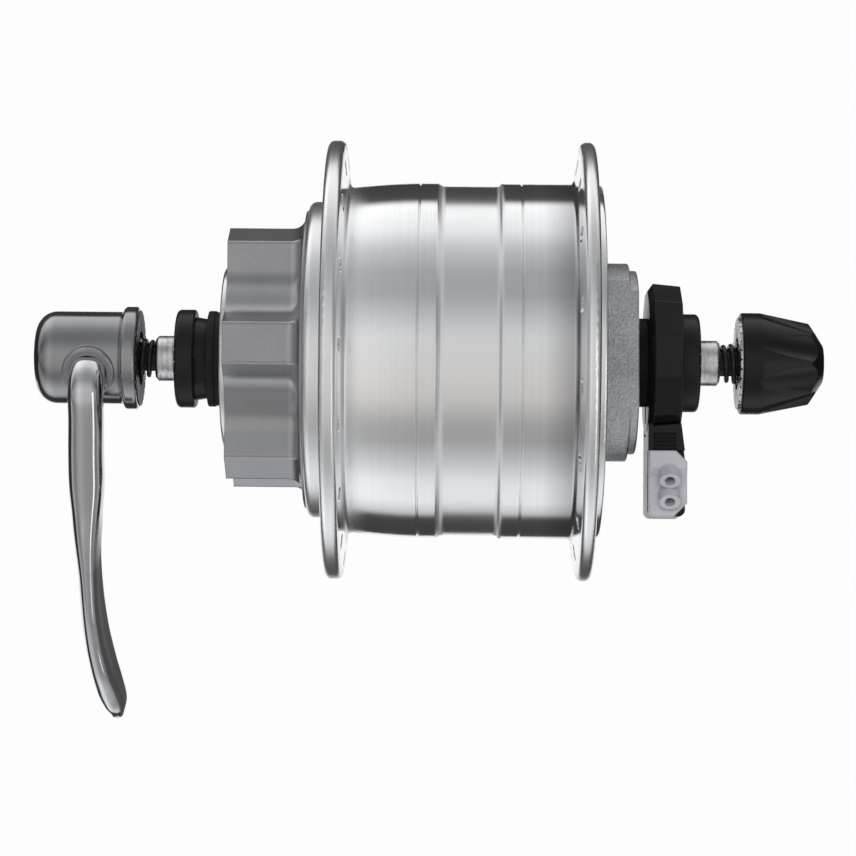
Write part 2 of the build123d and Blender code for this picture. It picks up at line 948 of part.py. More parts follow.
def contact_slot(margin=0):
    """The space of one contact blade, on the -X face of the tongue."""
    face = -tongue_width / 2
    half = contact_width / 2 + margin
    deep = face + contact_thickness - contact_proud + margin
    return block(
        (face - contact_proud - margin, deep),
        (tongue_y - half, tongue_y + half),
        (-tongue_end + contact_end_margin - margin, -contact_root),
    )


def terminal_block():
    body = drum()
    body = fillet(body.edges().group_by(Axis.Y)[0], drum_rounding)
    half = tongue_thickness / 2
    tongue = block(
        (-tongue_width / 2, tongue_width / 2),
        (tongue_y - half, tongue_y + half),
        (-tongue_end, -drum_outer_r / 2),
    )
    tongue = fillet(tongue.edges().group_by(Axis.Z)[0], tongue_rounding)
    body = body + tongue
    body -= tube(0, bolt_on_r, drum_inner_y + cut_overrun, drum_end_y - cut_overrun)
    room = lead_slot_width / 2
    body -= block((-room, room), (drum_inner_y + cut_overrun, tongue_y - room), (-lead_rise_r - room, 0))
    slot = contact_slot(seat_gap)
    body -= [slot, mirror(slot, Plane.YZ), contact_foot(seat_gap)]
    return spun(body, terminal_tilt)


def contact_foot(margin=0):
    """The space of the live contact's foot, from the blade in to the lead."""
    half = contact_width / 2 + margin
    return block(
        (-tongue_width / 2, -lead_r - seat_gap),
        (tongue_y - half, tongue_y + half),
        (-contact_root - contact_thickness - margin, -contact_root + margin),
    )


def live_contact():
    """The front blade, with a foot that reaches in to the lead."""
    return spun(contact_slot() + contact_foot(), terminal_tilt)


def earth_contact():
    """The rear blade, which is joined to the axle inside the drum."""
    return spun(mirror(contact_slot(), Plane.YZ), terminal_tilt)


def plug_side(points, front, back):
    """A plug piece from an outline of (y, distance below the axle), between two depths."""
    face = Plane(origin=(-front, 0, 0), x_dir=(0, 1, 0), z_dir=(1, 0, 0))
    flat = [(p[0], -p[1]) + tuple(p[2:]) for p in points]
    sheet = outline(flat)
    return extrude(face * sheet, amount=front + back)


def tube_axis(index):
    """The outward direction and the mouth of a wire tube."""
    tilt = math.radians(tube_tilt)
    way = Vector(-math.cos(tilt), 0, -math.sin(tilt))
    foot_drop = tube_first_depth + index * tube_pitch - tube_proud_length * math.sin(tilt)
    foot = Vector(-plug_cover_front, tube_y, -foot_drop)
    return way, foot + way * tube_proud_length


def plug_cap():
    """The black part of the plug, with grip ribs, that slides on the tongue."""
    body = plug_side(
        [
            (cap_inner_y, cap_top),
            (cap_shoulder_y, cap_top),
            (cap_outer_y, cap_top + cap_shoulder_drop),
            (cap_outer_y, cap_bottom, cap_corner),
            (cap_inner_y, cap_bottom, cap_corner),
        ],
        cap_front,
        cap_back,
    )
    body -= drum(plug_gap)
    room = block(
        (-cap_front - cut_overrun, -plug_cover_back + seat_gap),
        (cap_inner_y + cut_overrun, cap_outer_y - cut_overrun),
        (-plug_cover_top + seat_gap, -cap_bottom - cut_overrun),
    )
    body -= room
    half_y = tongue_thickness / 2 + plug_gap
    half_x = tongue_width / 2 + plug_gap
    body -= block(
        (-half_x, half_x),
        (tongue_y - half_y, tongue_y + half_y),
        (-tongue_end - plug_gap, 0),
    )
    for i in range(rib_count):
        level = rib_start + i * rib_pitch
        body -= block(
            (-cap_front - cut_overrun, -cap_front + rib_depth),
            (cap_inner_y - rib_side_margin, cap_shoulder_y + rib_side_margin),
            (-level, -level - rib_width),
        )
    body -= clip_rooms(seat_gap)
    return spun(body, terminal_tilt)


def clip_rooms(margin=0):
    """The spaces of the plug's two contact clips, beside the tongue."""
    side = tongue_width / 2 + contact_proud + plug_gap / 2
    half = contact_width / 2 + margin
    low = -tongue_end + contact_end_margin - margin
    front = block(
        (-side - clip_thickness - margin, -side + margin),
        (tongue_y - half, tongue_y + half),
        (low, low + clip_length + 2 * margin),
    )
    return [front, mirror(front, Plane.YZ)]


def plug_contacts():
    """The two contact clips that the plug presses on the blades."""
    return [spun(clip, terminal_tilt) for clip in clip_rooms()]


def plug_cover():
    """The grey cover of the plug, with two tilted wire tubes."""
    body = plug_side(
        [
            (plug_cover_inner_y, plug_cover_top),
            (plug_cover_outer_y + plug_cover_chamfer, plug_cover_top),
            (plug_cover_outer_y, plug_cover_top + plug_cover_chamfer),
            (plug_cover_outer_y, cap_bottom - plug_cover_lower_cut),
            (plug_cover_outer_y + plug_cover_lower_cut, cap_bottom),
            (plug_cover_inner_y, cap_bottom, plug_cover_corner),
        ],
        plug_cover_front,
        -plug_cover_back,
    )
    body = fillet(body.edges().group_by(Axis.X)[0], plug_cover_rounding)
    step = -(plug_cover_top + plug_step_drop)
    notch = Plane(origin=(0, 0, 0), x_dir=(1, 0, 0), z_dir=(0, -1, 0)) * make_face(Polyline(
        (-plug_cover_front, step),
        (-plug_cover_front + plug_step_depth, step - plug_step_depth * 2),
        (-plug_cover_front, -cap_bottom + plug_step_depth),
        close=True,
    ))
    body -= extrude(notch, amount=-plug_cover_outer_y + cut_overrun)
    bores = []
    for index in range(2):
        way, mouth = tube_axis(index)
        plane = Plane(origin=mouth, x_dir=(0, 1, 0), z_dir=-way)
        tube_body = extrude(plane * Ellipse(tube_half_width, tube_half_height), amount=tube_length)
        inside = block(
            (-plug_cover_back - seat_gap, -cap_front * 2),
            (plug_cover_inner_y, plug_cover_outer_y),
            (-cap_top, -cap_bottom * 2),
        )
        body += tube_body & inside
        bores.append(rod_between(mouth + way * cut_overrun, mouth - way * wire_bore_depth, wire_bore_r))
    body -= bores
    return spun(body, terminal_tilt)


def skewer_rod():
    rod = turned([
        (0, skewer_tip_y),
        (skewer_r - skewer_tip_chamfer, skewer_tip_y),
        (skewer_r, skewer_tip_y + skewer_tip_chamfer),
        (skewer_r, eye_y - head_r / 2),
        (0, eye_y - head_r / 2),
    ])
    head = rod_between((-head_half, eye_y, 0), (head_half, eye_y, 0), head_r)
    eye_half = cam_r + cam_clearance
    across = rod_between(
        (-head_half - cut_overrun, eye_y, 0), (head_half + cut_overrun, eye_y, 0), eye_half
    )
    slot = block(
        (-head_half - cut_overrun, head_half + cut_overrun),
        (eye_y - eye_half, eye_y + eye_half),
        (-cam_throw, cam_throw),
    )
    eye = slot + [Pos(0, 0, cam_throw) * across, Pos(0, 0, -cam_throw) * across]
    return rod + head - eye


def lever_housing():
    groove_y = housing_ring_y + housing_groove_width
    body = turned([
        (0, housing_face_y),
        (housing_ring_r, housing_face_y, housing_ring_rounding),
        (housing_ring_r, housing_ring_y, housing_ring_rounding),
        (housing_groove_r, housing_ring_y),
        (housing_groove_r, groove_y),
        (housing_r, groove_y),
        (housing_r, housing_end_y, housing_corner),
        (0, housing_end_y),
    ])
    boss = rod_between((-pivot_boss_reach, pivot_y, 0), (pivot_boss_reach, pivot_y, 0), pivot_boss_r)
    boss = fillet(boss.edges().filter_by(GeomType.CIRCLE), pivot_boss_rounding)
    body += boss
    body -= tube(0, housing_cavity_r, housing_face_y - cut_overrun, housing_cavity_end_y)
    body -= tube(0, grip_ring_r + seat_gap, housing_face_y - cut_overrun, grip_ring_end_y + seat_gap)
    far = pivot_boss_reach + cut_overrun
    body -= rod_between((-far, pivot_y, 0), (0, pivot_y, 0), stem_r + journal_gap)
    body -= rod_between((0, pivot_y, 0), (far, pivot_y, 0), rear_journal_r + journal_gap)
    return body


def grip_ring():
    """The toothed steel ring in the housing's mouth, which also seats the spring."""
    ring = turned([
        (grip_ring_hole_r, grip_ring_face_y),
        (grip_ring_r, grip_ring_face_y),
        (grip_ring_r, grip_ring_end_y),
        (spring_seat_r, grip_ring_end_y),
        (spring_seat_r, spring_seat_y),
        (grip_ring_hole_r, spring_seat_y),
    ])
    teeth = face_teeth(
        grip_ring_face_y, -1, grip_ring_hole_r - cut_overrun, grip_ring_r + cut_overrun,
        grip_teeth, grip_tooth_depth, grip_tooth_width,
    )
    return ring - teeth


def lever_section(shares):
    """One cross-section of the lever's arm, an ellipse across the arm's path."""
    length_share, inset_share, back_share, width_share, thick_share = shares
    x = -elbow_reach + (elbow_reach - paddle_offset) * back_share
    y = pivot_y - lever_inset * inset_share
    plane = Plane(origin=(x, y, -lever_length * length_share), x_dir=(1, 0, 0), z_dir=(0, 0, -1))
    return plane * Ellipse(paddle_half_width * width_share, stem_r * thick_share)


def cam_lever():
    """The lever with its cross shaft, eccentric cam and curved arm."""
    drop = lever_length * lever_shares[0][0]
    bend = elbow_reach - pivot_boss_reach - journal_gap
    path = FilletPolyline(
        (-head_half - cam_clearance, pivot_y, 0),
        (-elbow_reach, pivot_y, 0),
        (-elbow_reach, pivot_y, -drop),
        radius=bend,
    )
    start = Plane(origin=path @ 0, z_dir=path % 0)
    arm = sweep(start * Circle(stem_r), path=path)
    sections = [Plane(origin=(-elbow_reach, pivot_y, -drop), z_dir=(0, 0, -1)) * Circle(stem_r)]
    sections += [lever_section(shares) for shares in lever_shares[1:]]
    arm += loft(sections)
    arm -= lever_scoop()
    cam = rod_between(
        (-head_half - cam_clearance, eye_y, 0), (head_half + cam_clearance, eye_y, 0), cam_r
    )
    journal = rod_between(
        (0, pivot_y, 0), (pivot_boss_reach + end_cap_thickness / 2, pivot_y, 0), rear_journal_r
    )
    return arm + cam + journal


def lever_scoop():
    """The thumb hollow on the side of the paddle that faces the hub."""
    top = lever_shares[6]
    low = lever_shares[8]
    centres = []
    for shares in (top, low):
        y = pivot_y - lever_inset * shares[1] - stem_r * shares[4] + scoop_depth - scoop_r
        centres.append(Vector(-paddle_offset, y, -lever_length * shares[0]))
    way = (centres[1] - centres[0]).normalized()
    return rod_between(centres[0] - way * scoop_depth, centres[1] + way * scoop_depth, scoop_r)


def cam_end_cap():
    """The push-on cap that keeps the cross shaft in the housing."""
    start = pivot_boss_reach + seat_gap
    cap = rod_between((start, pivot_y, 0), (start + end_cap_thickness, pivot_y, 0), end_cap_r)
    cap = fillet(cap.edges().group_by(Axis.X)[-1], end_cap_rounding)
    depth = pivot_boss_reach + end_cap_thickness / 2 + seat_gap
    return cap - rod_between((0, pivot_y, 0), (depth, pivot_y, 0), rear_journal_r + seat_gap)


def biarc(start, start_way, end, end_way):
    """Two arcs that join two points with the given directions."""
    chord = end - start
    both = start_way + end_way
    spread = 2 * (1 - start_way.dot(end_way))
    along = chord.dot(both)
    reach = (math.sqrt(along ** 2 + spread * chord.dot(chord)) - along) / spread
    middle = (start + end + (start_way - end_way) * reach) / 2
    middle_way = (end - end_way * reach) - (start + start_way * reach)
    return [
        TangentArc(start, middle, tangent=start_way),
        TangentArc(middle, end, tangent=middle_way),
    ]


def spring_place(turn, turns, y_small, y_large, r_small, r_large):
    """A point of the spring's centre line and its direction, after a number of turns."""
    share = turn / turns
    radius = r_small + (r_large - r_small) * share
    angle = 2 * math.pi * turn
    per_turn_r = (r_large - r_small) / turns
    per_turn_y = (y_large - y_small) / turns
    place = Vector(radius * math.cos(angle), y_small + per_turn_y * turn, radius * math.sin(angle))
    way = Vector(
        per_turn_r * math.cos(angle) - 2 * math.pi * radius * math.sin(angle),
        per_turn_y,
        per_turn_r * math.sin(angle) + 2 * math.pi * radius * math.cos(angle),
    )
    return place, way.normalized()


def conical_spring(turns, y_small, y_large, r_small, r_large):
    """One unbroken wire wound from the axle's end to the larger seat."""
    quarters = round(turns * 4)
    places = [
        spring_place(i / 4, turns, y_small, y_large, r_small, r_large) for i in range(quarters + 1)
    ]
    edges = []
    for (start, start_way), (end, end_way) in zip(places, places[1:]):
        edges += biarc(start, start_way, end, end_way)
    path = Wire(edges)
    first, first_way = places[0]
    wire = sweep(Plane(origin=first, z_dir=first_way) * Circle(spring_wire / 2), path=path)
    return wire, coil_gap(path, turns)


def coil_gap(path, turns):
    """The least gap between neighbouring curls of the wire, measured on points."""
    steps = 48
    count = round(turns * steps)
    points = [path @ (i / count) for i in range(count + 1)]
    least = min(
        (points[i] - points[k]).length
        for i in range(count + 1)
        for k in range(i + steps // 2, count + 1)
    )
    return least - spring_wire


def lever_spring():
    wire_r = spring_wire / 2
    return conical_spring(
        lever_spring_turns,
        axle_half + spring_end_gap + wire_r,
        spring_seat_y - spring_end_gap - wire_r,
        lever_spring_small_r,
        lever_spring_large_r,
    )


def nut_spring():
    wire_r = spring_wire / 2
    return conical_spring(
        nut_spring_turns,
        -axle_half - spring_end_gap - wire_r,
        insert_seat_y + spring_end_gap + wire_r,
        nut_spring_small_r,
        nut_spring_large_r,
    )


def adjusting_nut():
    """The black grip nut, with narrow ribs between slanted flutes."""
    insert_room_r = insert_r + seat_gap
    body = turned([
        (insert_room_r, nut_face_y),
        (nut_r, nut_face_y, nut_face_rounding),
        (nut_r, nut_collar_y),
        (nut_shoulder_r, nut_shoulder_y, nut_face_rounding),
        (nut_end_r, nut_end_y, nut_face_rounding),
        (nut_hole_r, nut_end_y),
        (nut_hole_r, insert_sleeve_y - seat_gap),
        (insert_sleeve_r + seat_gap, insert_sleeve_y - seat_gap),
        (insert_sleeve_r + seat_gap, insert_plate_y - seat_gap),
        (insert_room_r, insert_plate_y - seat_gap),
    ])
    near = Vector(-nut_r - nut_flute_r, nut_flute_start_y, 0)
    far_r = nut_shoulder_r - nut_flute_depth + nut_flute_r
    far = Vector(-far_r, nut_shoulder_y, 0)
    slant = (far - near) / (far - near).length
    flute = rod_between(near - slant * nut_flute_r, far + slant * nut_flute_r * 2, nut_flute_r)
    return body - ring_of(flute, nut_ribs, nut_rib_angle + 180 / nut_ribs)


def nut_insert():
    """The steel insert with the thread, the spring's seat and a toothed face."""
    thread_r = skewer_r + skewer_clearance
    body = turned([
        (insert_hole_r, insert_face_y),
        (insert_r, insert_face_y),
        (insert_r, insert_plate_y),
        (insert_sleeve_r, insert_plate_y),
        (insert_sleeve_r, insert_sleeve_y),
        (thread_r, insert_sleeve_y),
        (thread_r, insert_seat_y),
        (insert_hole_r, insert_seat_y),
    ])
    teeth = face_teeth(
        insert_face_y, 1, insert_hole_r - cut_overrun, insert_r + cut_overrun,
        grip_teeth, grip_tooth_depth, grip_tooth_width,
    )
    return body - teeth


def build():
    lever_wire, lever_gap = lever_spring()
    nut_wire, nut_gap = nut_spring()
    print(f"lever spring gap {lever_gap:.2f}, nut spring gap {nut_gap:.2f}")
    return {
        "axle": axle(),
        "disc_side_locknut": locknut(1),
        "terminal_side_locknut": locknut(-1),
        "disc_side_cone": disc_side_cone(),
        "terminal_side_cone": terminal_side_cone(),
        "disc_side_seal": disc_side_seal(),
        "terminal_side_seal": terminal_side_seal(),
        "terminal_block": terminal_block(),
        "live_contact": live_contact(),
        "earth_contact": earth_contact(),
        "lead_wire": lead_wire(),
        "stator_core": stator_core(),
        "coil_bobbin": coil_bobbin(),
        "coil_winding": coil_winding(),
        "disc_side_claw_yoke": claw_yoke(1),
        "terminal_side_claw_yoke": claw_yoke(-1),
        "stator_washers": stator_washers(),
        "stator_nuts": stator_nuts(),
        "hub_shell": hub_shell(),
        "rotor_mount": rotor_mount(),
        "end_cover": end_cover(),
        "cover_gasket": cover_gasket(),
        "back_ring": back_ring(),
        "rotor_magnets": rotor_magnets(),
        "disc_side_cup": bearing_cup(disc_ball_y, 1),
        "terminal_side_cup": bearing_cup(terminal_ball_y, -1),
        "disc_side_dust_cap": dust_cap(disc_dust_cap_y, 1),
        "terminal_side_dust_cap": dust_cap(terminal_dust_cap_y, -1),
        "disc_side_balls": balls(disc_ball_y),
        "disc_side_cage": ball_cage(disc_ball_y, 1),
        "terminal_side_balls": balls(terminal_ball_y),
        "terminal_side_cage": ball_cage(terminal_ball_y, -1),
        "skewer_rod": skewer_rod(),
        "lever_spring": lever_wire,
        "lever_housing": lever_housing(),
        "grip_ring": grip_ring(),
        "cam_lever": cam_lever(),
        "cam_end_cap": cam_end_cap(),
        "nut_spring": nut_wire,
        "adjusting_nut": adjusting_nut(),
        "nut_insert": nut_insert(),
        "plug_cap": plug_cap(),
        "plug_cover": plug_cover(),
        "plug_contacts": plug_contacts(),
    }


os.makedirs("parts", exist_ok=True)
for name, shape in build().items():
    solid = Compound(children=shape) if isinstance(shape, list) else shape
    export_step(solid, f"parts/{name}.step")
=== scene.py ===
import bpy
import json
import math
from mathutils import Matrix, Vector


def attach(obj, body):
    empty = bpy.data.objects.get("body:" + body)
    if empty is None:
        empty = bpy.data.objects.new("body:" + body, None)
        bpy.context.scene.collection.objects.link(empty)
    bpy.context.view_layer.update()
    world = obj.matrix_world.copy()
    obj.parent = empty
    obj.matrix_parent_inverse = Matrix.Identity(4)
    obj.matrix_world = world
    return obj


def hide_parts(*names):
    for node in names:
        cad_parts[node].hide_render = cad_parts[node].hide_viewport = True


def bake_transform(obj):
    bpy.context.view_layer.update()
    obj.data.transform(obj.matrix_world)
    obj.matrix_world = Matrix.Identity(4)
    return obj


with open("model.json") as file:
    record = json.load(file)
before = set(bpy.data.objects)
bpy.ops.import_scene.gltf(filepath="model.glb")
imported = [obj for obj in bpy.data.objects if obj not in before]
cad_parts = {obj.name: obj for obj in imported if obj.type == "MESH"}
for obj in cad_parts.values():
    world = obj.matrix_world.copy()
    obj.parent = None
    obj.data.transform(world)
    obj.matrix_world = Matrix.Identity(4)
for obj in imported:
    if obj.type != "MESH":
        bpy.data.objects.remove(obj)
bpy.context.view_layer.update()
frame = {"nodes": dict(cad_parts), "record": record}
mm = 0.001

# Camera, fitted to the photograph. Azimuth 270 puts it on the -X side.
image_width = 856
camera_focal_pixels = 2913
camera_elevation = 20.0
camera_yaw = 0.63
camera_roll = 0.32
camera_place = (-530.6 * mm, -4.46 * mm, 179.4 * mm)
sensor_width = 36.0

# Floor and studio
floor_drop = 400 * mm
floor_near = 430 * mm
floor_far = 3.4
floor_half_width = 0.66
floor_whiteness = 0.96

# Light of the studio round the axle: degrees from the front (-X) towards +Z, strength, and coolness
studio_ring = [
    (-180, 0.05, 0.0),
    (-103, 0.05, 0.0),
    (-97, 0.58, 0.5),
    (-84, 0.88, 1.0),
    (-66, 0.82, 1.0),
    (-50, 0.56, 1.0),
    (-34, 0.34, 0.3),
    (-22, 0.37, -0.5),
    (-4, 0.58, -1.0),
    (14, 0.63, -0.8),
    (34, 0.66, 0.4),
    (48, 0.52, 1.0),
    (62, 0.37, 1.0),
    (78, 0.38, 0.8),
    (96, 0.55, 0.5),
    (112, 0.88, 0.5),
    (139, 1.10, 0.0),
    (146, 0.06, 0.0),
    (180, 0.05, 0.0),
]
cool_tint = (-0.025, 0.0, 0.025)
side_start = 0.5
side_end = 0.88
side_level = 0.5
left_start = 0.06
left_end = 0.34
left_gain = 1.30

# Sizes that the scene's own pieces share with the model, in metres
pivot_y = 66.2 * mm
journal_start = 3.65 * mm
elbow_reach = 13.5 * mm
elbow_bend = 4.1 * mm
stem_r = 3.4 * mm
lever_length = 70.6 * mm
lever_inset = 3.7 * mm
paddle_offset = 9.6 * mm
paddle_half_width = 6.3 * mm
spring_wire_r = 0.45 * mm
axle_half = 54.0 * mm
lever_spring_seat = 58.4 * mm
nut_spring_seat = 60.0 * mm
spring_end_gap = 0.05 * mm
lever_coil_radii = (3.1 * mm, 3.65 * mm)
nut_coil_radii = (3.15 * mm, 3.85 * mm)
tip_bulge = 0.25 * mm

# Places where a finish changes, each from where the change starts to where it ends
belt_start_y = (-0.75 * mm, -0.55 * mm)
belt_end_y = (-11.65 * mm, -11.45 * mm)
belt_step_places = (-0.65 * mm, -11.7 * mm)
belt_step_width = (0.35 * mm, 0.9 * mm)
foot_y = (12.5 * mm, 16.0 * mm)
flange_side_r = (34.3 * mm, 35.5 * mm)
flange_edge_r = (39.5 * mm, 41.0 * mm)
# The next two bound a painted shade, the shell's colour darkened beside the terminal flange, not a change
# of finish
flange_painted_shade_y = (-26.4 * mm, -19.5 * mm)
flange_painted_shade_end_y = (-29.6 * mm, -29.2 * mm)
mount_machined_y = (39.45 * mm, 39.6 * mm)
mount_machined_r = 17.7 * mm
cover_machined_y = (-37.75 * mm, -37.85 * mm)
cover_machined_r = 25 * mm
paddle_z = (-38 * mm, -26 * mm)
thumb_side_facing = (-0.78, -0.62)

# Grain of the finishes, and the values of a noise between which a surface changes its look
noise_range = (0.35, 0.65)
turning_range = (0.3, 0.7)
fleck_range = (0.38, 0.62)
shell_turning = 0.22 * mm
shell_patch = 22 * mm
cast_grain = 0.45 * mm
cast_patch = 7 * mm
cast_turning = 0.16 * mm
cast_edge = 0.35 * mm
machined_fade = 0.1 * mm
chrome_grain = 0.6 * mm
chrome_edge = 0.25 * mm
thread_patch = 1.6 * mm
thread_height = 0.02 * mm
thread_edge = 0.4 * mm
shell_height = 0.0016 * mm
shell_edge = 0.3 * mm
chrome_height = 0.002 * mm
coat_roughness = 0.12
bevel_samples = 4

# Lamps: name, place, target, size, radiance, and whether metal mirrors them
lamps = [
    ("fill_front", (-0.75, 0.1, 0.55), (0, 0, 0), (0.8, 0.8), 1.6, False),
    ("fill_back", (0.7, 0.0, 0.7), (0, 0, 0), (0.7, 0.7), 0.8, False),
    ("right_strip", (-0.72, -0.62, -0.1), (0, 0.06, -0.03), (0.16, 0.9), 1.5, True),
]


def new_material(name):
    material = bpy.data.materials.new(name)
    material.use_nodes = True
    return material, material.node_tree, material.node_tree.nodes["Principled BSDF"]


def node(tree, kind, inputs=(), **settings):
    """A node with its settings and its inputs, each a socket to link or a plain value."""
    made = tree.nodes.new(kind)
    for key, value in settings.items():
        setattr(made, key, value)
    for key, value in dict(inputs).items():
        if isinstance(value, bpy.types.NodeSocket):
            tree.links.new(value, made.inputs[key])
        else:
            made.inputs[key].default_value = value
    return made


def maths(tree, operation, *values):
    return node(tree, "ShaderNodeMath", enumerate(values), operation=operation).outputs[0]


def spread(tree, value, low, high, to_low, to_high):
    """The value, mapped from one range to another and kept inside it."""
    inputs = {"Value": value, "From Min": low, "From Max": high, "To Min": to_low, "To Max": to_high}
    return node(tree, "ShaderNodeMapRange", inputs, clamp=True).outputs[0]


def place_on(tree):
    """The object coordinates, their X, Y and Z, and the distance from the axle."""
    place = node(tree, "ShaderNodeTexCoord").outputs["Object"]
    parts = node(tree, "ShaderNodeSeparateXYZ", {0: place}).outputs
    squares = [maths(tree, "MULTIPLY", part, part) for part in (parts[0], parts[2])]
    return place, parts, maths(tree, "SQRT", maths(tree, "ADD", *squares))


def turned_place(tree):
    """Coordinates that change along the axle and away from it, but not round it."""
    _, parts, radius = place_on(tree)
    return node(tree, "ShaderNodeCombineXYZ", {0: parts[1], 1: radius}).outputs[0]


def noise(tree, place, size, detail=3.0):
    inputs = {"Vector": place, "Scale": 1 / size, "Detail": detail}
    return node(tree, "ShaderNodeTexNoise", inputs).outputs["Fac"]


def blend_colours(tree, factor, first, second):
    mixed = node(tree, "ShaderNodeMix", {0: factor}, data_type="RGBA")
    for socket, value in ((mixed.inputs[6], first), (mixed.inputs[7], second)):
        if isinstance(value, bpy.types.NodeSocket):
            tree.links.new(value, socket)
        else:
            socket.default_value = (*value, 1)
    return mixed.outputs[2]


def shade(colour, amount):
    return tuple(min(1.0, channel * amount) for channel in colour)


def finish_surface(tree, shader, colour, roughness, height, bump, edge):
    """Links colour, roughness and a bump over rounded edges to the shader."""
    rounded = node(tree, "ShaderNodeBevel", {"Radius": edge}, samples=bevel_samples).outputs[0]
    inputs = {"Height": height, "Strength": 1.0, "Distance": bump, "Normal": rounded}
    relief = node(tree, "ShaderNodeBump", inputs).outputs[0]
    tree.links.new(colour, shader.inputs["Base Color"])
    tree.links.new(roughness, shader.inputs["Roughness"])
    tree.links.new(relief, shader.inputs["Normal"])


def plain_surface(name, colour, metallic, roughness, grain, bump, mottle=0.06, vary=0.05,
                  edge=0.25 * mm, turned=False, patch=9 * mm, wear=0.0, wear_colour=(0.5, 0.5, 0.5),
                  gloss=0.5, coat=0.0):
    """A surface with a fine grain, a slow mottle of its colour and worn edges."""
    material, tree, shader = new_material(name)
    place = turned_place(tree) if turned else place_on(tree)[0]
    fine = noise(tree, place, grain)
    slow = noise(tree, place_on(tree)[0], patch, 2.0)
    tint = spread(tree, slow, *noise_range, 0.0, 1.0)
    tone = blend_colours(tree, tint, shade(colour, 1 - mottle), shade(colour, 1 + mottle))
    if wear:
        rounded = node(tree, "ShaderNodeBevel", {"Radius": 2 * edge}, samples=bevel_samples).outputs[0]
        true = node(tree, "ShaderNodeNewGeometry").outputs["Normal"]
        pair = {0: rounded, 1: true}
        likeness = node(tree, "ShaderNodeVectorMath", pair, operation="DOT_PRODUCT").outputs["Value"]
        rubbed = maths(tree, "MULTIPLY", spread(tree, likeness, 0.8, 0.99, wear, 0.0), tint)
        tone = blend_colours(tree, rubbed, tone, wear_colour)
    mixed = maths(tree, "ADD", maths(tree, "MULTIPLY", fine, 0.6), maths(tree, "MULTIPLY", slow, 0.4))
    rough = spread(tree, mixed, *noise_range, max(0.02, roughness - vary), roughness + vary)
    shader.inputs["Metallic"].default_value = metallic
    shader.inputs["Specular IOR Level"].default_value = gloss
    shader.inputs["Coat Weight"].default_value = coat
    shader.inputs["Coat Roughness"].default_value = coat_roughness
    finish_surface(tree, shader, tone, rough, fine, bump, edge)
    return material


def shell_surface():
    """Polished alloy, finely turned, duller on its belt, its foot and its flange edges.

    Beside the flange on the terminal side it is darker, as in the photograph: a painted shade in its
    colour.
    """
    material, tree, shader = new_material("polished_shell")
    _, parts, radius = place_on(tree)
    rings = noise(tree, turned_place(tree), shell_turning, 4.0)
    slow = noise(tree, place_on(tree)[0], shell_patch, 2.0)
    after = spread(tree, parts[1], *belt_start_y, 1.0, 0.0)
    before = spread(tree, parts[1], *belt_end_y, 0.0, 1.0)
    belt = maths(tree, "MULTIPLY", after, before)
    polished = spread(tree, slow, *noise_range, 0.12, 0.15)
    foot = maths(tree, "MULTIPLY", spread(tree, parts[1], *foot_y, 0.0, 0.17),
                 spread(tree, radius, *flange_side_r, 1.0, 0.0))
    rough = maths(tree, "ADD", maths(tree, "ADD", polished, foot), maths(tree, "MULTIPLY", belt, 0.07))
    rough = maths(tree, "ADD", rough, spread(tree, radius, *flange_edge_r, 0.0, 0.14))
    for step_y in belt_step_places:
        off = maths(tree, "ABSOLUTE", maths(tree, "SUBTRACT", parts[1], step_y))
        rough = maths(tree, "ADD", rough, spread(tree, off, *belt_step_width, 0.25, 0.0))
    turning = spread(tree, rings, *turning_range, 0.0, 1.0)
    bright = blend_colours(tree, turning, (0.88, 0.885, 0.89), (0.93, 0.935, 0.94))
    # Painted shade: below the flange's side and beside the terminal flange, the colour is darkened to a
    # dull grey
    outside_painted_shade = maths(tree, "MAXIMUM", spread(tree, parts[1], *flange_painted_shade_y, 0.0, 1.0),
                  spread(tree, radius, *flange_side_r, 0.0, 1.0))
    outside_painted_shade = maths(tree, "MAXIMUM", outside_painted_shade, spread(tree, parts[1], *flange_painted_shade_end_y, 1.0, 0.0))
    tone = blend_colours(tree, outside_painted_shade, (0.42, 0.42, 0.43), bright)
    shader.inputs["Metallic"].default_value = 1.0
    finish_surface(tree, shader, tone, rough, rings, shell_height, shell_edge)
    return material


def cast_surface(name, colour, machined_y, machined_r, dullness, speckle, bump):
    """A matt casting whose end, past a place along the axle and within a radius, is machined bright."""
    material, tree, shader = new_material(name)
    place, parts, radius = place_on(tree)
    grain = noise(tree, place, cast_grain, 4.0)
    slow = noise(tree, place, cast_patch)
    rings = noise(tree, turned_place(tree), cast_turning)
    past = spread(tree, parts[1], *machined_y, 0.0, 1.0)
    within = spread(tree, radius, machined_r, machined_r + machined_fade, 1.0, 0.0)
    machined = maths(tree, "MULTIPLY", past, within)
    flecks = maths(tree, "ADD", maths(tree, "MULTIPLY", slow, 0.4), maths(tree, "MULTIPLY", grain, 0.6))
    dull = blend_colours(tree, spread(tree, flecks, *fleck_range, 0.0, 1.0),
                         shade(colour, 1 - speckle), shade(colour, 1 + speckle))
    tone = blend_colours(tree, machined, dull, (0.86, 0.86, 0.87))
    height = maths(tree, "ADD", maths(tree, "MULTIPLY", grain, maths(tree, "SUBTRACT", 1.0, machined)),
                   maths(tree, "MULTIPLY", maths(tree, "MULTIPLY", rings, machined), 0.2))
    rough = spread(tree, machined, 0.0, 1.0, dullness, 0.24)
    shader.inputs["Metallic"].default_value = 1.0
    finish_surface(tree, shader, tone, rough, height, bump, cast_edge)
    return material


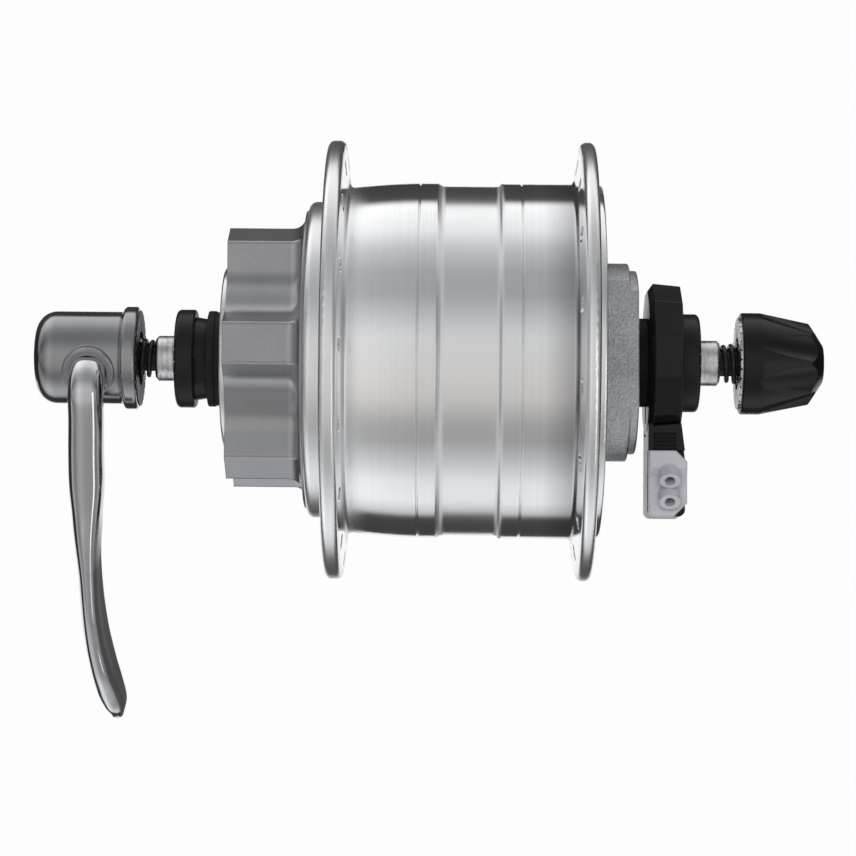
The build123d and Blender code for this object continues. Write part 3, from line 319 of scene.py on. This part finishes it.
def lever_surface():
    """Chrome, with the thumb side of the paddle left dull and dark."""
    material, tree, shader = new_material("lever_chrome")
    place, parts, _ = place_on(tree)
    normal = node(tree, "ShaderNodeTexCoord").outputs["Normal"]
    facing = node(tree, "ShaderNodeSeparateXYZ", {0: normal}).outputs[1]
    dull = maths(tree, "MULTIPLY", spread(tree, facing, *thumb_side_facing, 1.0, 0.0),
                 spread(tree, parts[2], *paddle_z, 1.0, 0.0))
    grain = noise(tree, place, chrome_grain)
    tone = blend_colours(tree, dull, (0.64, 0.64, 0.66), (0.12, 0.12, 0.125))
    for name, chrome, cast in (("Metallic", 1.0, 0.0), ("Specular IOR Level", 0.5, 0.06)):
        tree.links.new(spread(tree, dull, 0.0, 1.0, chrome, cast), shader.inputs[name])
    rough = spread(tree, dull, 0.0, 1.0, 0.1, 0.5)
    finish_surface(tree, shader, tone, rough, grain, chrome_height, chrome_edge)
    return material


def threaded_surface(name, colour, pitch):
    """Steel with the thread of the axle as a relief along it."""
    material, tree, shader = new_material(name)
    place, parts, _ = place_on(tree)
    turn = maths(tree, "DIVIDE", maths(tree, "ARCTAN2", parts[2], parts[0]), 2 * math.pi)
    along = maths(tree, "ADD", maths(tree, "DIVIDE", parts[1], pitch), turn)
    wave = maths(tree, "SINE", maths(tree, "MULTIPLY", along, 2 * math.pi))
    slow = noise(tree, place, thread_patch)
    tint = spread(tree, slow, *noise_range, 0.0, 1.0)
    tone = blend_colours(tree, tint, shade(colour, 0.72), shade(colour, 1.15))
    rough = spread(tree, slow, *noise_range, 0.22, 0.36)
    shader.inputs["Metallic"].default_value = 1.0
    finish_surface(tree, shader, tone, rough, wave, thread_height, thread_edge)
    return material


def metal_materials():
    return {
        "axle_steel": threaded_surface("threaded_steel", (0.72, 0.72, 0.73), 1.0 * mm),
        "bearing_steel": plain_surface(
            "ground_steel", (0.75, 0.75, 0.76), 1.0, 0.18, 0.2 * mm, 0.002 * mm, turned=True),
        "contact_metal": plain_surface(
            "contact_brass", (0.76, 0.6, 0.3), 1.0, 0.3, 0.3 * mm, 0.003 * mm),
        "yoke_steel": plain_surface(
            "pressed_steel", (0.35, 0.35, 0.36), 1.0, 0.4, 0.5 * mm, 0.01 * mm),
        "winding_copper": plain_surface(
            "enamelled_copper", (0.7, 0.27, 0.1), 1.0, 0.3, 0.35 * mm, 0.08 * mm, turned=True),
        "plated_steel": plain_surface(
            "plated_steel", (0.66, 0.67, 0.68), 1.0, 0.26, 0.3 * mm, 0.004 * mm),
        "polished_alloy": shell_surface(),
        "cast_alloy": cast_surface(
            "cast_mount", (0.40, 0.40, 0.415), mount_machined_y, mount_machined_r, 0.30, 0.05, 0.012 * mm),
        "rough_alloy": cast_surface(
            "cast_cover", (0.52, 0.53, 0.54), cover_machined_y, cover_machined_r, 0.42, 0.22, 0.14 * mm),
        "housing_alloy": plain_surface(
            "satin_housing", (0.31, 0.31, 0.325), 1.0, 0.16, 0.25 * mm, 0.0012 * mm,
            edge=0.5 * mm, mottle=0.04, wear=0.3, wear_colour=(0.5, 0.5, 0.51), coat=1.0),
        "lever_chrome": lever_surface(),
    }


def other_materials():
    return {
        "black_steel": plain_surface(
            "blackened_steel", (0.006, 0.006, 0.007), 0.0, 0.36, 0.25 * mm, 0.004 * mm,
            turned=True, wear=0.4, wear_colour=(0.05, 0.05, 0.05), gloss=0.3),
        "spring_steel": plain_surface(
            "black_wire", (0.012, 0.012, 0.013), 0.0, 0.3, 0.3 * mm, 0.004 * mm, gloss=0.4),
        "black_rubber": plain_surface(
            "seal_rubber", (0.008, 0.008, 0.009), 0.0, 0.55, 0.3 * mm, 0.02 * mm, gloss=0.25),
        "black_plastic": plain_surface(
            "moulded_black", (0.005, 0.005, 0.006), 0.0, 0.28, 0.3 * mm, 0.012 * mm,
            edge=0.45 * mm, wear=0.3, wear_colour=(0.04, 0.04, 0.045), gloss=0.3),
        "nut_plastic": plain_surface(
            "nut_plastic", (0.004, 0.004, 0.005), 0.0, 0.27, 0.35 * mm, 0.012 * mm,
            edge=0.5 * mm, wear=0.25, wear_colour=(0.03, 0.03, 0.032), gloss=0.3),
        "grey_plastic": plain_surface(
            "grey_moulding", (0.56, 0.555, 0.60), 0.0, 0.26, 0.4 * mm, 0.006 * mm,
            edge=0.4 * mm, mottle=0.04),
        "bobbin_plastic": plain_surface(
            "bobbin_plastic", (0.06, 0.06, 0.06), 0.0, 0.5, 0.4 * mm, 0.01 * mm),
        "wire_insulation": plain_surface(
            "lead_insulation", (0.04, 0.04, 0.04), 0.0, 0.4, 0.3 * mm, 0.004 * mm),
        "magnet": plain_surface(
            "ferrite", (0.08, 0.08, 0.085), 0.0, 0.6, 0.5 * mm, 0.02 * mm),
    }


def dress_nodes(materials):
    """Gives each node of the model the material of its slot."""
    slot_of = {entry["node"]: entry["material_slot"] for entry in frame["record"]["subparts"]}
    for name, thing in frame["nodes"].items():
        for place in thing.material_slots:
            place.material = materials[slot_of[name]]


def add_mesh(name, points, faces, material):
    mesh = bpy.data.meshes.new(name)
    mesh.from_pydata(points, [], faces)
    mesh.update()
    for face in mesh.polygons:
        face.use_smooth = True
    made = bpy.data.objects.new(name, mesh)
    bpy.context.collection.objects.link(made)
    made.data.materials.append(material)
    return made


def tube_faces(rings, around):
    """Faces of a closed tube of rings, with a fan's centre point after them at each end."""
    faces = []
    for ring in range(rings - 1):
        for i in range(around):
            k = (i + 1) % around
            low = ring * around
            faces.append((low + i, low + k, low + around + k, low + around + i))
    first = rings * around
    last = (rings - 1) * around
    for i in range(around):
        k = (i + 1) % around
        faces.append((k, i, first))
        faces.append((last + i, last + k, first + 1))
    return faces


def smooth_share(table, share):
    """A row of the table at a share of its first column, on a smooth curve through its rows."""
    rows = len(table)
    k = max(i for i in range(rows - 1) if table[i][0] <= share or i == 0)
    before, low, high, after = (table[max(0, min(rows - 1, k + d))] for d in (-1, 0, 1, 2))
    t = (share - low[0]) / (high[0] - low[0])
    values = []
    for a, b, c, d in zip(before[1:], low[1:], high[1:], after[1:]):
        leave = (c - a) / 2
        arrive = (d - b) / 2
        values.append(
            b * (2 * t ** 3 - 3 * t ** 2 + 1) + leave * (t ** 3 - 2 * t ** 2 + t)
            + c * (3 * t ** 2 - 2 * t ** 3) + arrive * (t ** 3 - t ** 2)
        )
    return values


# Shares along the lever: of its length, of its shift in, of its shift back, of the paddle's half width,
# and of the stem's radius for the thickness.
arm_shares = [
    (0.10, 0.00, 0.00, 0.54, 1.00),
    (0.20, -0.07, 0.00, 0.54, 1.01),
    (0.30, -0.10, 0.03, 0.56, 1.01),
    (0.37, -0.13, 0.09, 0.61, 0.89),
    (0.45, -0.16, 0.22, 0.74, 0.79),
    (0.56, -0.12, 0.44, 0.90, 0.68),
    (0.67, -0.07, 0.66, 1.00, 0.68),
    (0.77, 0.09, 0.84, 1.00, 0.72),
    (0.86, 0.37, 0.95, 0.96, 0.76),
    (0.93, 0.67, 1.00, 0.80, 0.78),
    (0.97, 0.90, 1.00, 0.68, 0.66),
    (1.00, 1.00, 1.00, 0.42, 0.38),
]


def lever_rings():
    """Centre, half width, half thickness and width direction of each ring of the lever."""
    journal_shares = (0.0, 0.35, 0.7, 1.0)
    elbow_steps = 8
    arm_steps = 46
    rings = []
    for share in journal_shares:
        reach = journal_start + (elbow_reach - elbow_bend - journal_start) * share
        rings.append((Vector((-reach, pivot_y, 0)), stem_r, stem_r, Vector((0, 0, 1))))
    for step in range(1, elbow_steps + 1):
        angle = math.pi / 2 * step / elbow_steps
        along = math.sin(angle) * elbow_bend
        down = (1 - math.cos(angle)) * elbow_bend
        centre = Vector((-elbow_reach + elbow_bend - along, pivot_y, -down))
        wide = Vector((-math.sin(angle), 0, math.cos(angle)))
        rings.append((centre, stem_r, stem_r, wide))
    first = arm_shares[0][0]
    for step in range(arm_steps + 1):
        share = first + (1 - first) * math.sin(math.pi / 2 * step / arm_steps)
        inset, back, wide, thick = smooth_share(arm_shares, share)
        centre = Vector((
            -elbow_reach + (elbow_reach - paddle_offset) * back,
            pivot_y - lever_inset * inset,
            -lever_length * share,
        ))
        rings.append((centre, paddle_half_width * wide, stem_r * thick, Vector((-1, 0, 0))))
    return rings


def lever_piece(materials):
    """The chromed lever, with a shallow thumb hollow on the side that faces the hub."""
    around = 40
    fullness = 0.86
    hollow = 0.42
    round_ratio = 1.6
    points = []
    rings = lever_rings()
    for centre, half_width, half_thickness, wide in rings:
        flat = min(1.0, max(0.0, half_width / half_thickness - round_ratio))
        for i in range(around):
            angle = 2 * math.pi * i / around
            across = math.copysign(abs(math.cos(angle)) ** fullness, math.cos(angle))
            up = math.copysign(abs(math.sin(angle)) ** fullness, math.sin(angle))
            if up < 0:
                up *= 1 - hollow * flat * (1 - across ** 2) ** 2
            point = centre + wide * (across * half_width) + Vector((0, 1, 0)) * (up * half_thickness)
            points.append(point)
    points += [rings[0][0], rings[-1][0] + Vector((0, 0, -tip_bulge))]
    lever = add_mesh("lever_arm", points, tube_faces(len(rings), around), materials["lever_chrome"])
    smoother = lever.modifiers.new("smooth", "SUBSURF")
    smoother.levels = 1
    smoother.render_levels = 2
    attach(lever, "lever")
    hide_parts("cam_lever")


def spring_piece(name, turns, start, end, radii, materials):
    """A conical spring of round wire from the axle's end to its seat."""
    around = 12
    steps_per_turn = 40
    steps = round(turns * steps_per_turn)
    small_r, large_r = radii
    points = []
    centres = []
    for step in range(steps + 1):
        share = step / steps
        angle = 2 * math.pi * turns * share
        radius = small_r + (large_r - small_r) * share
        out = Vector((math.cos(angle), 0, math.sin(angle)))
        centre = out * radius + Vector((0, start + (end - start) * share, 0))
        for i in range(around):
            side = 2 * math.pi * i / around
            offset = out * math.cos(side) + Vector((0, 1, 0)) * math.sin(side)
            points.append(centre + offset * spring_wire_r)
        centres.append(centre)
    points += [centres[0], centres[-1]]
    spring = add_mesh(name, points, tube_faces(steps + 1, around), materials["spring_steel"])
    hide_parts(name.replace("_coil", ""))
    return spring


def add_springs(materials):
    wire_end = spring_wire_r + spring_end_gap
    lever_coil = spring_piece("lever_spring_coil", 2.5, axle_half + wire_end, lever_spring_seat - wire_end,
                              lever_coil_radii, materials)
    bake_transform(lever_coil)
    nut_coil = spring_piece("nut_spring_coil", 3.5, -axle_half - wire_end, -nut_spring_seat + wire_end,
                            nut_coil_radii, materials)
    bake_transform(nut_coil)


def camera_axes():
    """The camera's right, up and backward directions in the frame of the model."""
    tilt = math.radians(camera_elevation)
    yaw = math.radians(camera_yaw)
    roll = math.radians(camera_roll)
    ahead = Vector((math.cos(tilt) * math.cos(yaw), math.sin(yaw), -math.sin(tilt)))
    right = ahead.cross(Vector((0, 0, 1))).normalized()
    up = right.cross(ahead)
    rolled_right = right * math.cos(roll) + up * math.sin(roll)
    rolled_up = up * math.cos(roll) - right * math.sin(roll)
    return rolled_right, rolled_up, -ahead


def add_camera():
    lens = bpy.data.cameras.new("camera")
    lens.sensor_width = sensor_width
    lens.lens = camera_focal_pixels / image_width * sensor_width
    lens.clip_start = 0.01
    camera = bpy.data.objects.new("camera", lens)
    bpy.context.collection.objects.link(camera)
    right, up, backward = camera_axes()
    turn = Matrix((right, up, backward)).transposed().to_4x4()
    camera.matrix_world = Matrix.Translation(camera_place) @ turn
    bpy.context.scene.camera = camera


def add_floor():
    """A plain pale floor behind and below the hub, which fills the picture from the scene's camera."""
    material, tree, shader = new_material("pale_floor")
    shader.inputs["Base Color"].default_value = (0.9, 0.9, 0.9, 1)
    shader.inputs["Roughness"].default_value = 0.9
    path = node(tree, "ShaderNodeLightPath").outputs
    seen = maths(tree, "MAXIMUM", path["Is Camera Ray"], path["Is Glossy Ray"])
    seen = maths(tree, "MAXIMUM", seen, path["Is Transmission Ray"])
    white = node(tree, "ShaderNodeEmission", {"Color": (1, 1, 1, 1), "Strength": 1.0}).outputs[0]
    mixed = node(tree, "ShaderNodeMixShader", {0: maths(tree, "MULTIPLY", seen, floor_whiteness)})
    tree.links.new(shader.outputs[0], mixed.inputs[1])
    tree.links.new(white, mixed.inputs[2])
    tree.links.new(mixed.outputs[0], tree.nodes["Material Output"].inputs["Surface"])
    corners = [
        (floor_near, -floor_half_width, -floor_drop),
        (floor_far, -floor_half_width, -floor_drop),
        (floor_far, floor_half_width, -floor_drop),
        (floor_near, floor_half_width, -floor_drop),
    ]
    floor = add_mesh("floor", corners, [(0, 1, 2, 3)], material)


def add_studio():
    """The studio's soft light, which changes round the axle and fades to both sides."""
    world = bpy.data.worlds.new("studio")
    bpy.context.scene.world = world
    world.use_nodes = True
    tree = world.node_tree
    way = node(tree, "ShaderNodeTexCoord").outputs["Generated"]
    parts = node(tree, "ShaderNodeSeparateXYZ", {0: way}).outputs
    angle = maths(tree, "ARCTAN2", parts[2], maths(tree, "MULTIPLY", parts[0], -1.0))
    share = spread(tree, angle, -math.pi, math.pi, 0.0, 1.0)
    ramp = node(tree, "ShaderNodeValToRGB", {0: share})
    points = ramp.color_ramp.elements
    while len(points) < len(studio_ring):
        points.new(0.5)
    peak = max(strength for _, strength, _ in studio_ring)
    for point, (degrees, strength, cool) in zip(points, studio_ring):
        point.position = (degrees + 180) / 360
        level = strength / peak
        point.color = (*(level * (1 + cool * tint) for tint in cool_tint), 1)
    side = spread(tree, maths(tree, "ABSOLUTE", parts[1]), side_start, side_end, peak, peak * side_level)
    side = maths(tree, "MULTIPLY", side, spread(tree, parts[1], left_start, left_end, 1.0, left_gain))
    background = tree.nodes["Background"]
    tree.links.new(ramp.outputs["Color"], background.inputs["Color"])
    tree.links.new(side, background.inputs["Strength"])


def add_lamp(name, place, target, size, radiance, in_gloss):
    """A soft box that faces a point. Its power follows from its size and its brightness."""
    light = bpy.data.lights.new(name, "AREA")
    light.shape = "RECTANGLE"
    light.size, light.size_y = size
    light.energy = radiance * math.pi * size[0] * size[1]
    made = bpy.data.objects.new(name, light)
    bpy.context.collection.objects.link(made)
    made.location = place
    made.rotation_euler = (Vector(target) - Vector(place)).to_track_quat("-Z", "Y").to_euler()
    made.visible_glossy = in_gloss


materials = {**metal_materials(), **other_materials()}
dress_nodes(materials)
lever_piece(materials)
add_springs(materials)
add_camera()
add_floor()
add_studio()
for lamp in lamps:
    add_lamp(*lamp)
bpy.context.scene.view_settings.view_transform = "Standard"
